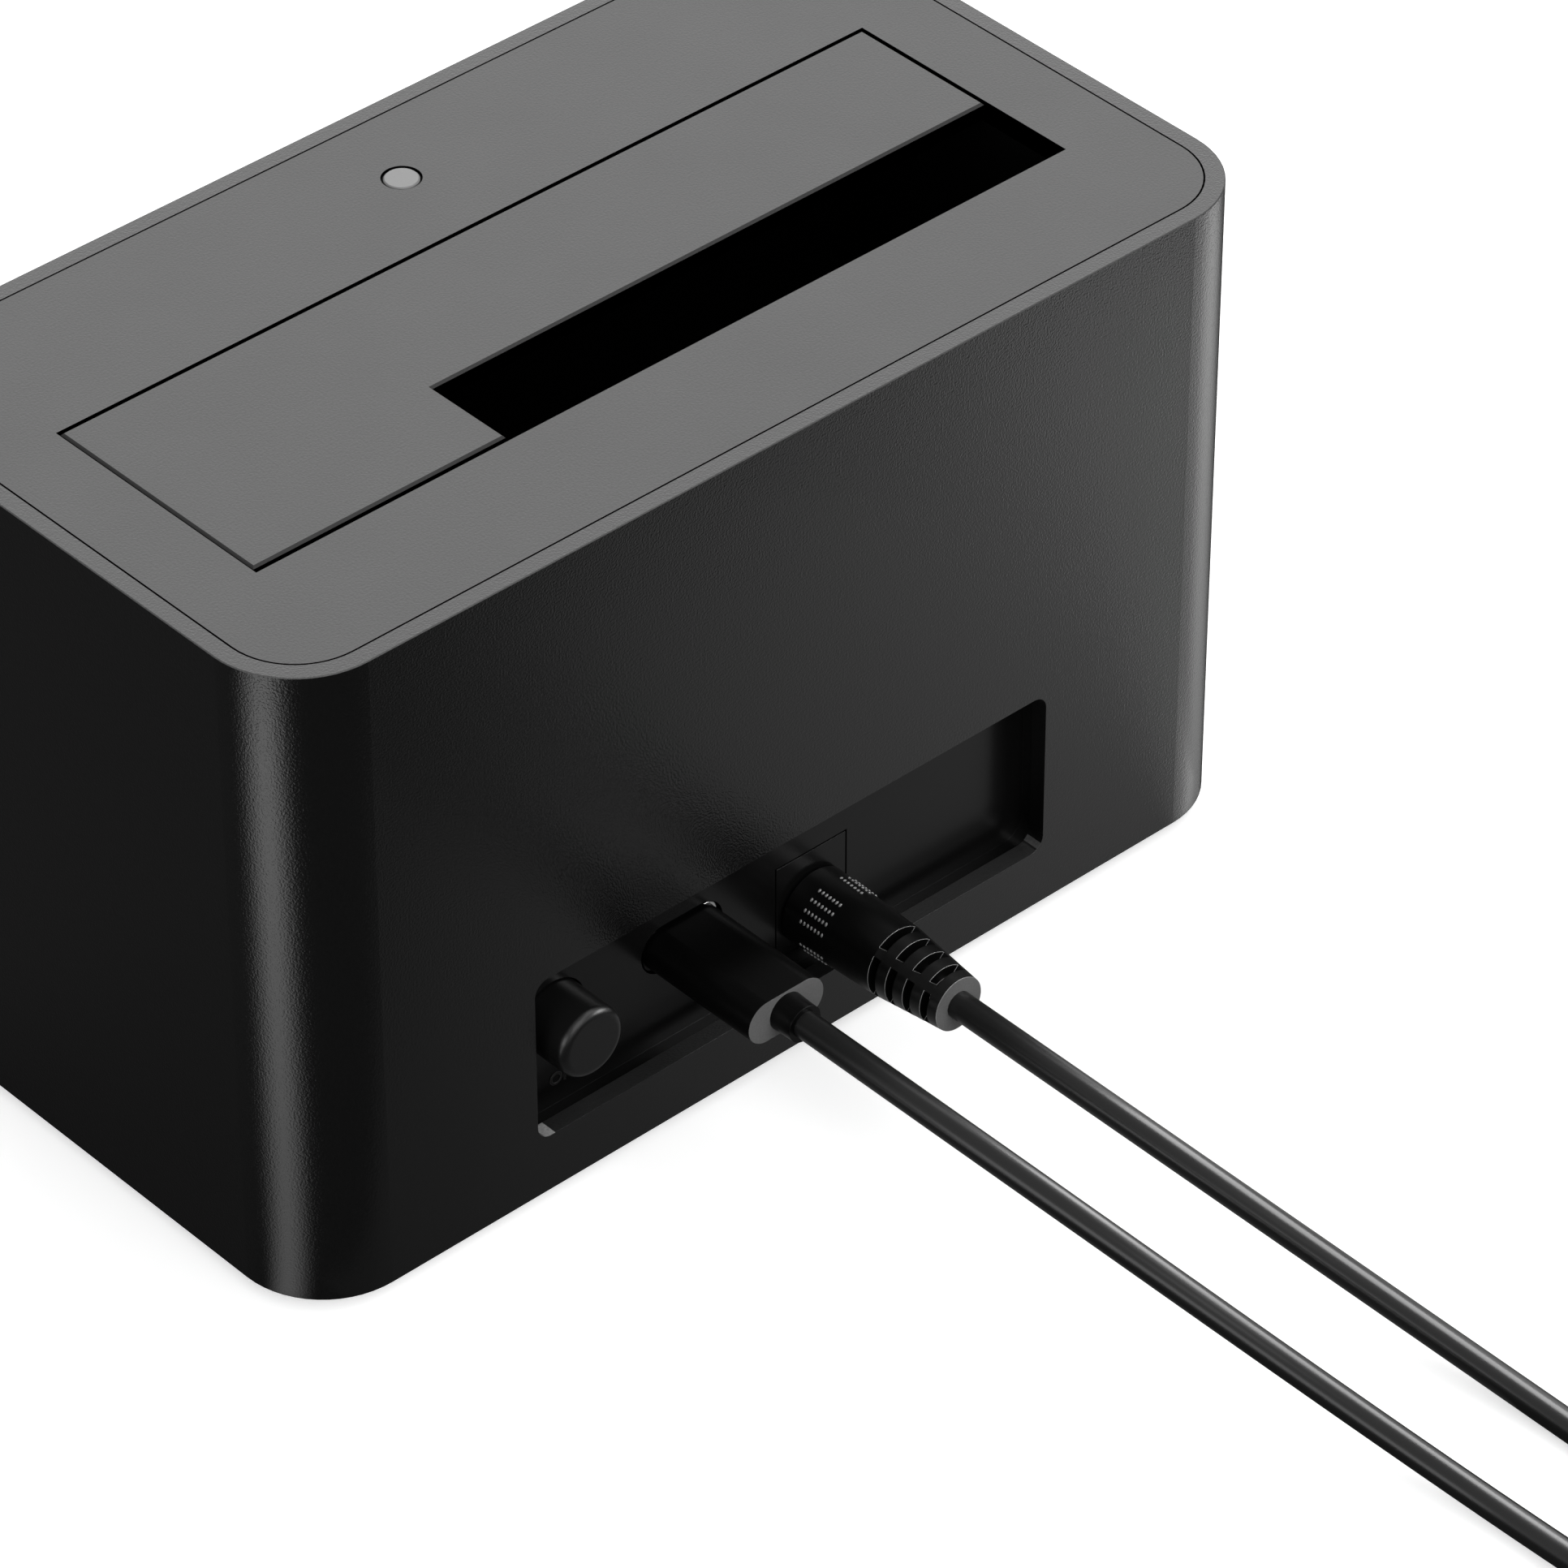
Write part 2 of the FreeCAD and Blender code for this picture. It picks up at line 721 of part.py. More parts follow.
def power_plunger():
    flange_back = port_back - button_hole_gap - button_flange_thickness
    back = switch_front - plunger_reach
    length = flange_back + plunger_seat - back
    return along_y(Part.makeCylinder(plunger_radius, length), button_x, back, button_z)


def power_switch():
    """Push switch under the board, bored for its plunger."""
    half = switch_size / 2
    height = 2 * button_drop
    case = box(button_x - half, button_x + half, switch_front - switch_size, switch_front,
               board_underside - height, board_underside)
    bore_depth = plunger_reach + button_travel + switch_end_gap
    bore = Part.makeCylinder(plunger_radius + pin_fit, bore_depth)
    return case.cut(along_y(bore, button_x, switch_front - bore_depth, button_z))


def usb_socket_shell():
    """Drawn steel shell, closed at its back and flared at its mouth."""
    outer = rounded_prism(usb_shell_width, usb_shell_height, usb_shell_height / 2, usb_shell_length)
    mouth = rounded_prism(usb_mouth_width, usb_mouth_height, usb_mouth_corner, usb_mouth_depth)
    mouth.translate(Vector(0, 0, usb_shell_length - usb_mouth_depth))
    inner = rounded_prism(usb_shell_width - 2 * usb_shell_wall, usb_shell_height - 2 * usb_shell_wall,
                          usb_shell_height / 2 - usb_shell_wall, usb_shell_length - usb_shell_wall)
    inner.translate(Vector(0, 0, usb_shell_wall))
    lead_in = rounded_prism(usb_mouth_width - 2 * usb_shell_wall, usb_mouth_height - 2 * usb_shell_wall,
                            usb_mouth_corner - usb_shell_wall, usb_mouth_depth - usb_shell_wall)
    lead_in.translate(Vector(0, 0, usb_shell_length - usb_mouth_depth + usb_shell_wall))
    shell = outer.fuse(mouth).cut(inner).cut(lead_in)
    return along_y(shell, usb_x, usb_plug_front - pin_fit - usb_shell_length, usb_z)


def usb_socket_tongue():
    back = usb_plug_front - pin_fit - usb_shell_length + usb_shell_wall
    tongue = rounded_prism(usb_tongue_width, usb_tongue_thickness, usb_tongue_thickness / 4,
                           usb_tongue_length)
    root_height = usb_shell_height - 2 * usb_shell_wall
    root = rounded_prism(usb_tongue_width, root_height, root_height / 4, usb_tongue_length / 8)
    return along_y(tongue.fuse(root).removeSplitter(), usb_x, back, usb_z)


def usb_tip():
    """Metal nose of the data plug, built along +Z with its mouth at z = 0."""
    length = usb_tip_length + usb_tip_seat
    nose = rounded_prism(usb_tip_width, usb_tip_height, usb_tip_height / 2, length)
    mouth = rounded_prism(usb_tongue_width + 2 * seam, usb_tongue_thickness + 2 * seam,
                          usb_tongue_thickness / 2, usb_tongue_length + usb_tip_seat / 2)
    return nose.cut(mouth)


def usb_body():
    """Flat-sided overmould with a round collar, built along +Z from the nose end."""
    body = rounded_prism(usb_plug_width, usb_plug_height, usb_plug_height / 2, usb_plug_length)
    collar = turned([(0, usb_plug_length), (usb_collar_root, usb_plug_length),
                     (usb_collar_end, usb_plug_length + usb_collar_taper),
                     (usb_collar_end, usb_plug_length + usb_collar_length),
                     (0, usb_plug_length + usb_collar_length)])
    pocket = rounded_prism(usb_tip_width, usb_tip_height, usb_tip_height / 2, usb_tip_seat)
    return body.fuse(collar).removeSplitter().cut(pocket)


def clear_of_coil(outer_turn, half_width_beside):
    """How far past the coil's middle a piece of that half width clears the coil beside it."""
    outside = outer_turn + cord_radius + cord_rest
    return math.sqrt(outside ** 2 - (outer_turn - half_width_beside) ** 2)


def far_usb_y():
    """Where the nose of the far data plug meets its overmould."""
    collar_clear = clear_of_coil(usb_outer_turn, usb_collar_end)
    body_clear = clear_of_coil(usb_outer_turn, usb_plug_width / 2) - usb_collar_length
    return usb_coil_y + max(collar_clear, body_clear) + usb_collar_length + usb_plug_length


def far_usb(shape, extra):
    """Place a data plug piece the other way round, so that its nose points to +Y."""
    shape.Placement = Placement(Vector(usb_floor_x, far_usb_y() + extra, usb_plug_height / 2 + cord_rest),
                                Rotation(Vector(1, 0, 0), 90))
    return shape


def dc_jack():
    """Square-faced power socket with a round bore and a seat for its centre pin."""
    body = box(dc_x - dc_jack_width / 2, dc_x + dc_jack_width / 2, port_face - dc_jack_length, port_face,
               board_underside - dc_jack_height, board_underside)
    bore = along_y(Part.makeCylinder(dc_bore_radius, dc_bore_depth), dc_x, port_face - dc_bore_depth, dc_z)
    seat = along_y(Part.makeCylinder(dc_pin_radius, dc_bore_depth), dc_x,
                   port_face - dc_bore_depth - dc_pin_seat, dc_z)
    return body.cut(bore).cut(seat)


def dc_jack_pin():
    length = dc_pin_seat + dc_bore_depth - dc_pin_setback
    pin = Part.makeCylinder(dc_pin_radius, length)
    pin = pin.makeChamfer(dc_pin_radius / 2, edges_at_height(pin, length))
    return along_y(pin, dc_x, port_face - dc_bore_depth - dc_pin_seat, dc_z)


def dc_barrel():
    length = dc_barrel_length + dc_barrel_seat
    barrel = Part.makeCylinder(dc_barrel_radius, length).cut(Part.makeCylinder(dc_barrel_bore, length))
    return along_y(barrel, dc_x, dc_plug_front - dc_barrel_length, dc_z)


def dc_plug():
    """Tapered overmould whose strain relief is cut into rings held by four spines."""
    waist = dc_grip_length
    end = waist + dc_relief_length
    body = turned([(0, 0), (dc_plug_root - dc_plug_edge, 0), (dc_plug_root, dc_plug_edge),
                   (dc_plug_waist, waist), (dc_plug_end, end), (0, end)])
    for step in range(dc_slot_count):
        z = waist + step * dc_slot_pitch
        ring = Part.makeCylinder(dc_plug_root, dc_slot_width, Vector(0, 0, z))
        ring = ring.cut(Part.makeCylinder(dc_core_radius, dc_slot_width, Vector(0, 0, z)))
        for quarter in (45, 135):
            spine = box(-dc_plug_root, dc_plug_root, -dc_spine_width / 2, dc_spine_width / 2,
                        z, z + dc_slot_width)
            spine.rotate(Vector(0, 0, 0), Vector(0, 0, 1), quarter)
            ring = ring.cut(spine)
        body = body.cut(ring)
    body = body.cut(Part.makeCylinder(dc_barrel_radius, dc_barrel_seat))
    return along_y(body, dc_x, dc_plug_front, dc_z)


# Base
def foot_places():
    return mirrored_places(half_length - foot_inset_x, half_width - foot_inset_y)


def base_plate():
    """Inset floor of the body with sunk seats for the feet and the screws."""
    inset = 2 * (wall + seam)
    plate = rounded_prism(body_length - inset, body_width - inset, inner_radius - seam, base_thickness)
    plate.translate(Vector(0, 0, body_bottom))
    for x, y in foot_places():
        plate = plate.cut(cylinder(foot_radius + screw_fit, x, y, body_bottom, foot_height))
    for x, y in mirrored_places(post_x, post_y):
        plate = plate.cut(cylinder(screw_radius, x, y, body_bottom, base_top))
        head_top = body_bottom + screw_head_height
        plate = plate.cut(cylinder(screw_head_radius + seam, x, y, body_bottom, head_top))
    return plate


def rubber_feet():
    pads = []
    for x, y in foot_places():
        pad = cylinder(foot_radius, x, y, 0, foot_height)
        pads.append(pad.makeChamfer(foot_edge, edges_at_height(pad, 0)))
    return Part.makeCompound(pads)


def base_screws():
    seat = body_bottom + screw_head_height
    places = mirrored_places(post_x, post_y)
    return Part.makeCompound([screw(x, y, seat, base_screw_length) for x, y in places])


def board_screws():
    places = board_screw_places()
    return Part.makeCompound([screw(x, y, board_underside, board_screw_length) for x, y in places])


def panel_screws():
    length = bay_flange_thickness + panel_thickness / 2
    return Part.makeCompound([screw(x, y, flange_bottom, length) for x, y in bay_screw_places()])


def port_screws():
    parts = []
    for x, z in port_boss_places():
        one = screw(0, 0, 0, port_panel_thickness + port_panel_depth)
        parts.append(along_y(one, x, port_back, z))
    return Part.makeCompound(parts)


# Cords
def cord_tube(name, route):
    """Round tube along straight runs joined by the largest tangent arcs that the runs allow."""
    points = [Vector(*point) for point in route]
    runs = [(after - before).Length for before, after in zip(points, points[1:])]
    edges = []
    radii = []
    cursor = points[0]
    for index in range(1, len(points) - 1):
        corner = points[index]
        back = (points[index - 1] - corner).normalize()
        ahead = (points[index + 1] - corner).normalize()
        trim = arc_share * min(runs[index - 1], runs[index])
        half_turn = (math.pi - back.getAngle(ahead)) / 2
        radius = trim / math.tan(half_turn)
        start = corner + back * trim
        finish = corner + ahead * trim
        inward = (back + ahead).normalize()
        middle = corner + inward * (radius / math.cos(half_turn) - radius)
        edges.append(Part.LineSegment(cursor, start).toShape())
        edges.append(Part.Arc(start, middle, finish).toShape())
        radii.append(round(radius, 1))
        cursor = finish
    edges.append(Part.LineSegment(cursor, points[-1]).toShape())
    path = Part.Wire(edges)
    section = Part.Wire(Part.Circle(points[0], points[1] - points[0], cord_radius).toShape())
    tube = path.makePipeShell([section], True, True)
    expected = math.pi * cord_radius ** 2 * path.Length
    print(name, "runs", [round(run, 1) for run in runs], "radii", radii, "length", round(path.Length, 1),
          "volume over section x length", round(tube.Volume / expected, 4))
    return tube


def dc_cord_route():
    return [(dc_x, dc_cord_start, dc_z), (dc_x, dc_cord_drop_y, dc_z),
            (dc_floor_x, dc_cord_floor_y, cord_z), (dc_floor_x, dc_coil_y, cord_z)]


def usb_cord_route():
    return [(usb_x, usb_cord_start, usb_z), (usb_x, usb_cord_drop_y, usb_z),
            (usb_floor_x, usb_cord_floor_y, cord_z),
            (usb_floor_x - usb_cord_rise, usb_cord_rise_y, cord_z + usb_cord_rise),
            (usb_floor_x, usb_coil_y, cord_upper_z)]


def cord_coil(centre_x, centre_y, mean_radius, turns):
    """Outer shape of a wound coil: a flat ring."""
    half = (turns + 1) * cord_radius
    height = 2 * cord_radius * coil_layers + cord_rest
    ring = Part.makeCylinder(mean_radius + half, height).cut(Part.makeCylinder(mean_radius - half, height))
    ring.translate(Vector(centre_x, centre_y, 0))
    return ring


def dc_coil():
    return cord_coil(dc_floor_x - dc_outer_turn, dc_coil_y, dc_coil_radius, dc_coil_turns)


def usb_coil():
    return cord_coil(usb_floor_x + usb_outer_turn, usb_coil_y, usb_coil_radius, usb_coil_turns)


def adapter_body():
    """Wall adapter lying on its front, with the lead's strain relief near one corner."""
    case = rounded_prism(adapter_width, adapter_length, adapter_corner, adapter_height)
    case = case.makeChamfer(adapter_edge, edges_at_height(case, 0) + edges_at_height(case, adapter_height))
    case.translate(Vector(adapter_right - adapter_width / 2, adapter_y + adapter_length / 2, 0))
    start = dc_coil_y + clear_of_coil(dc_outer_turn, adapter_relief_root)
    length = adapter_y - start + adapter_edge
    relief = Part.makeCone(adapter_relief_end, adapter_relief_root, length)
    return case.fuse(along_y(relief, dc_floor_x, start, cord_upper_z)).removeSplitter()


def adapter_blades():
    y = adapter_y + adapter_length - blade_end_inset
    middle = adapter_right - adapter_width / 2
    blades = []
    for side in (-1, 1):
        blade = Part.makeBox(blade_thickness, blade_width, blade_length)
        blade_x = middle + side * blade_spacing / 2
        blade.translate(Vector(blade_x - blade_thickness / 2, y - blade_width / 2, adapter_height))
        blades.append(blade)
    return Part.makeCompound(blades)


os.makedirs("parts", exist_ok=True)
nodes = {
    "housing": housing(),
    "top_panel": top_panel(),
    "flap": flap(),
    "flap_hinge_pin": flap_hinge_pin(),
    "flap_spring": flap_spring(),
    "light_bezel": light_bezel(),
    "light_pipe": light_pipe(),
    "status_lamp": status_lamp(),
    "bay_frame": bay_frame(),
    "main_board": main_board(),
    "bridge_chip": bridge_chip(),
    "power_coils": power_coils(),
    "capacitors": capacitors(),
    "drive_socket": drive_socket(),
    "drive_contacts": drive_contacts(),
    "port_panel": port_panel(),
    "power_button": power_button(),
    "power_plunger": power_plunger(),
    "power_switch": power_switch(),
    "usb_socket_shell": usb_socket_shell(),
    "usb_socket_tongue": usb_socket_tongue(),
    "usb_plug_tip": along_y(usb_tip(), usb_x, usb_plug_front - usb_tip_length, usb_z),
    "usb_plug": along_y(usb_body(), usb_x, usb_plug_front, usb_z),
    "usb_cord": cord_tube("usb_cord", usb_cord_route()),
    "usb_coil": usb_coil(),
    "usb_far_plug": far_usb(usb_body(), 0),
    "usb_far_tip": far_usb(usb_tip(), usb_tip_length),
    "dc_jack": dc_jack(),
    "dc_jack_pin": dc_jack_pin(),
    "dc_plug_barrel": dc_barrel(),
    "dc_plug": dc_plug(),
    "dc_cord": cord_tube("dc_cord", dc_cord_route()),
    "dc_coil": dc_coil(),
    "adapter_body": adapter_body(),
    "adapter_blades": adapter_blades(),
    "base_plate": base_plate(),
    "rubber_feet": rubber_feet(),
    "base_screws": base_screws(),
    "board_screws": board_screws(),
    "panel_screws": panel_screws(),
    "port_screws": port_screws(),
}
for name, shape in nodes.items():
    save(name, shape)
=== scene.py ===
import math

import bmesh
import bpy
from mathutils import Matrix, Vector


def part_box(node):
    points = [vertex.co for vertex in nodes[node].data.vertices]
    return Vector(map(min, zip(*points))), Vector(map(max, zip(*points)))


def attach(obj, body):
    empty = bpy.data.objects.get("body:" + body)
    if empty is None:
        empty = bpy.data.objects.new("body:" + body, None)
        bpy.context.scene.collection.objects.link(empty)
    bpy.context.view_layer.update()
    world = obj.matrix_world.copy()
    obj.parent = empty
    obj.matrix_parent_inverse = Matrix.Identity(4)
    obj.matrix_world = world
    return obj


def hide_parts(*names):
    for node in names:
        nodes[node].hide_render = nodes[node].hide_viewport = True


# Looks of the docking station, in metres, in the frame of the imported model: X runs along the drive
# slot, the ports face +Y and the feet stand on z = 0.

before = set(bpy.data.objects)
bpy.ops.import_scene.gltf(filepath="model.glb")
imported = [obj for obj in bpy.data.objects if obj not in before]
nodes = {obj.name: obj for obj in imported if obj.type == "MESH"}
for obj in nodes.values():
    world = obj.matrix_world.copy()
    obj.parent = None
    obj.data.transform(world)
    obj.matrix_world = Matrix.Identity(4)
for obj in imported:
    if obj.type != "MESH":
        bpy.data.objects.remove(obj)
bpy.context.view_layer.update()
MM = 0.001


def middle(node):
    low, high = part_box(node)
    return (low + high) / 2


# Places read from the frame
usb_x, _, usb_z = middle("usb_plug")
dc_x, _, dc_z = middle("dc_plug")
usb_cord_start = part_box("usb_plug")[1].y
dc_cord_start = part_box("dc_plug")[1].y
port_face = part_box("dc_jack")[1].y

# Places as in the solid model: the data plug's end face behind its collar, the port window's end beside
# the button and the window's sill
usb_collar = 2.75 * MM
usb_face = usb_cord_start - usb_collar
window_end = 34.1 * MM
sill_z = 8.5 * MM

# Cord values, as in the solid model. On its way down to the floor each cord also drifts sideways, by a
# share of its drop.
cord_radius = 1.5 * MM
cord_z = 1.55 * MM
cord_upper_z = cord_z + 2 * cord_radius
dc_drift = 0.831
usb_drift = 0.805
dc_floor_x = dc_x - dc_drift * (dc_z - cord_z)
usb_floor_x = usb_x - usb_drift * (usb_z - cord_z)

# Points for each turn of a coil, and how far outside the turn they lie, as the curve runs inside them
turn_points = 16
turn_swell = 2 / (1 + math.cos(math.pi / turn_points) ** 2)

# Studio values: the camera's compass angle from +X, the housing's corner radius, how far a light sheet
# runs out over the floor, and the point that the softboxes are turned to
view_way = 47.66
corner_radius = 10 * MM
fan_reach = 0.13
studio_aim = Vector((0, 0, 0.04))


# Meshes and curves
def add_object(name, data):
    """Piece that rides on the station's body."""
    piece = bpy.data.objects.new(name, data)
    bpy.context.scene.collection.objects.link(piece)
    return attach(piece, "station")


def smooth_curve(name, points, radius):
    """Round cord whose line is a NURBS spline over the points. The points carry the radius, because
    the curve's box grows by theirs."""
    curve = bpy.data.curves.new(name, "CURVE")
    curve.dimensions = "3D"
    curve.bevel_depth = 1.0
    curve.bevel_resolution = 6
    curve.resolution_u = 8
    curve.use_fill_caps = True
    spline = curve.splines.new("NURBS")
    spline.points.add(len(points) - 1)
    for point, place in zip(spline.points, points):
        point.co = (*place, 1.0)
        point.radius = radius
    spline.order_u = 3
    spline.use_endpoint_u = True
    return add_object(name, curve)


def coil_layer(centre, first_angle, way, radii, turns, height):
    """Control points of one flat layer of turns, from the first radius to the second."""
    steps = round(turns * turn_points)
    points = []
    for step in range(1, steps):
        share = step / steps
        radius = (radii[0] + (radii[1] - radii[0]) * share) * turn_swell
        angle = first_angle + way * 2 * math.pi * step / turn_points
        points.append((centre[0] + radius * math.cos(angle), centre[1] + radius * math.sin(angle), height))
    return points


# Cords
def dc_cord():
    """Power lead: from its plug along the floor, into a flat coil and on into the adapter's relief."""
    bend_y = 74 * MM
    floor_y = 111 * MM
    coil_y = 146 * MM
    turns = 4.5
    middle_radius = 18 * MM
    outer = middle_radius + turns * cord_radius
    inner = middle_radius - turns * cord_radius
    centre = (dc_floor_x - outer, coil_y)
    end_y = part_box("adapter_body")[0].y + 1 * MM
    route = [(dc_x, dc_cord_start, dc_z), (dc_x, bend_y, dc_z), (dc_floor_x, floor_y, cord_z),
             (dc_floor_x, coil_y, cord_z)]
    route += coil_layer(centre, 0, 1, (outer, inner), turns, cord_z)
    route += coil_layer(centre, math.pi, 1, (inner, outer), turns, cord_upper_z)
    route += [(dc_floor_x, coil_y, cord_upper_z), (dc_floor_x, end_y, cord_upper_z)]
    return smooth_curve("power_lead", route, cord_radius)


def usb_cord():
    """Data lead: from its plug along the floor, up onto its flat coil and on into its far plug."""
    bend_y = 75 * MM
    floor_y = 118 * MM
    rise_y = 148 * MM
    rise = 0.4 * MM
    coil_y = 175 * MM
    turns = 4
    middle_radius = 16.5 * MM
    outer = middle_radius + turns * cord_radius
    inner = middle_radius - turns * cord_radius
    centre = (usb_floor_x + outer, coil_y)
    end_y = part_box("usb_far_plug")[0].y + 0.5 * MM
    far_z = middle("usb_far_plug").z
    route = [(usb_x, usb_cord_start, usb_z), (usb_x, bend_y, usb_z), (usb_floor_x, floor_y, cord_z),
             (usb_floor_x - rise, rise_y, cord_z + rise), (usb_floor_x, coil_y, cord_upper_z)]
    route += coil_layer(centre, math.pi, -1, (outer, inner), turns, cord_upper_z)
    route += coil_layer(centre, math.pi, -1, (inner, outer), turns, cord_z)
    route += [(usb_floor_x, coil_y, cord_z), (usb_floor_x, end_y, far_z)]
    return smooth_curve("data_lead", route, cord_radius)


# Small pieces
def grip_studs():
    """Rows of small studs round the power plug's tapered grip. Angles are in degrees from +X."""
    groups, group_angle, first_angle = 4, 90, 20
    rows, row_angle = 4, 16.6
    row_studs, first_place, place_step = 7, 2.75 * MM, 0.5 * MM
    stud_size = (0.13 * MM, 0.15 * MM, 0.24 * MM, 1)
    taper = 0.031
    low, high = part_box("dc_plug")
    root_radius = (high.x - low.x) / 2
    form = bmesh.new()
    for group in range(groups):
        for row in range(rows):
            angle = math.radians(first_angle + group_angle * group + row_angle * row)
            turn = Matrix.Rotation(-angle, 4, "Y")
            for step in range(row_studs):
                along = first_place + place_step * step
                centre = Matrix.Translation((dc_x, low.y + along, dc_z))
                out = Matrix.Translation((root_radius - taper * along, 0, 0))
                stud = centre @ turn @ out @ Matrix.Diagonal(stud_size)
                bmesh.ops.create_icosphere(form, subdivisions=2, radius=1.0, matrix=stud)
    mesh = bpy.data.meshes.new("grip_studs")
    form.to_mesh(mesh)
    form.free()
    for face in mesh.polygons:
        face.use_smooth = True
    return add_object("grip_studs", mesh)


def button_mark():
    """Raised letters below the button."""
    left_x = 29.2 * MM
    base_z = 10.2 * MM
    raised = 0.05 * MM
    letters = bpy.data.curves.new("button_mark", "FONT")
    letters.body = "ON"
    letters.size = 2.1 * MM
    letters.extrude = raised
    letters.offset = 0.03 * MM
    mark = add_object("button_mark", letters)
    mark.location = (left_x, port_face + raised, base_z)
    mark.rotation_euler = (math.pi / 2, 0, math.pi)
    return mark


# Camera
def photo_camera():
    """Camera with the lens, place and turn that were solved from the photograph's corners and edges."""
    data = bpy.data.cameras.new("camera")
    data.lens = 188.65
    data.sensor_width = 36.0
    data.clip_start = 0.01
    camera = bpy.data.objects.new("camera", data)
    camera.location = (0.42598, 0.50068, 0.53408)
    camera.rotation_euler = (math.radians(51.662), 0, math.radians(137.659))
    bpy.context.scene.collection.objects.link(camera)
    bpy.context.scene.camera = camera


# Materials
class Nodes:
    """Short way to write a node tree: add a node with its values, then link sockets."""

    def __init__(self, tree):
        self.tree = tree
        tree.nodes.clear()

    def add(self, kind, inputs=None, **settings):
        node = self.tree.nodes.new(kind)
        for key, value in settings.items():
            setattr(node, key, value)
        for key, value in (inputs or {}).items():
            if isinstance(value, bpy.types.NodeSocket):
                self.tree.links.new(value, node.inputs[key])
            else:
                node.inputs[key].default_value = value
        return node


def grey(level):
    return (level, level, level)


def product(tree, first, second):
    return tree.add("ShaderNodeMath", {0: first, 1: second}, operation="MULTIPLY").outputs["Value"]


def dot(tree, vector, way):
    return tree.add("ShaderNodeVectorMath", {0: vector, 1: way}, operation="DOT_PRODUCT").outputs["Value"]


def scaled(tree, vector, factor):
    result = tree.add("ShaderNodeVectorMath", {0: vector, "Scale": factor}, operation="SCALE")
    return result.outputs["Vector"]


def close_to(tree, value, target, reach):
    """1 where a value lies within a reach of the target."""
    return tree.add("ShaderNodeMath", {0: value, 1: target, 2: reach}, operation="COMPARE").outputs["Value"]


# Masks for parts of a surface. Each is, or gives, a function of the tree, the place, the face's own
# normal and the normal eased over its edges. A normal's share along a way is 1 where it points that way.
def flat_at(way, distance):
    """Flat faces that are turned a given way and lie a given distance along it."""
    place_reach = 0.3 * MM
    share_reach = 0.1

    def mask(tree, place, face, eased):
        level = close_to(tree, dot(tree, place, way), distance, place_reach)
        return product(tree, level, close_to(tree, dot(tree, face, way), 1.0, share_reach))
    return mask


def top_bevel(tree, place, face, eased):
    """Narrow bevels along upper edges, at about 45 degrees. On the shell a highlight is painted on them,
    and on the lid they are painted black as shade along the seams.
    """
    bevel_share, share_reach = 0.7, 0.15
    return close_to(tree, dot(tree, face, (0, 0, 1)), bevel_share, share_reach)


def upright(tree, place, face, eased):
    """Upright faces, such as the walls of the slot and the seams. On the lid they are painted black as
    shade in the slot and the seams.
    """
    share_reach = 0.3
    return close_to(tree, dot(tree, face, (0, 0, 1)), 0.0, share_reach)


def near_place(centre, reach):
    """What lies within a reach of a line along Y."""
    def mask(tree, place, face, eased):
        beside = close_to(tree, dot(tree, place, (1, 0, 0)), centre[0], reach)
        level = close_to(tree, dot(tree, place, (0, 0, 1)), centre[1], reach)
        return product(tree, beside, level)
    return mask


def sill_corner_highlight(tree, place, face, eased):
    """The sill's rounded end below the button, apart from the outer wall, where a highlight is painted."""
    centre = (window_end - 1 * MM, sill_z + 0.5 * MM)
    reach = 1.2 * MM
    share_reach = 0.3
    end = near_place(centre, reach)(tree, place, face, eased)
    return product(tree, end, close_to(tree, dot(tree, face, (0, 1, 0)), 0.0, share_reach))


def edge_towards(way):
    """Sharp edges that are partly turned a given way: the eased normal leaves the face's own there."""
    flat_share, sharp_share = 0.99, 0.9
    away_share, turned_share = 0.2, 0.4

    def mask(tree, place, face, eased):
        sharp = tree.add("ShaderNodeMapRange", {"Value": dot(tree, face, eased), "From Min": flat_share,
                                                "From Max": sharp_share})
        side = tree.add("ShaderNodeMapRange", {"Value": dot(tree, eased, way), "From Min": away_share,
                                               "From Max": turned_share})
        return product(tree, sharp.outputs["Result"], side.outputs["Result"])
    return mask


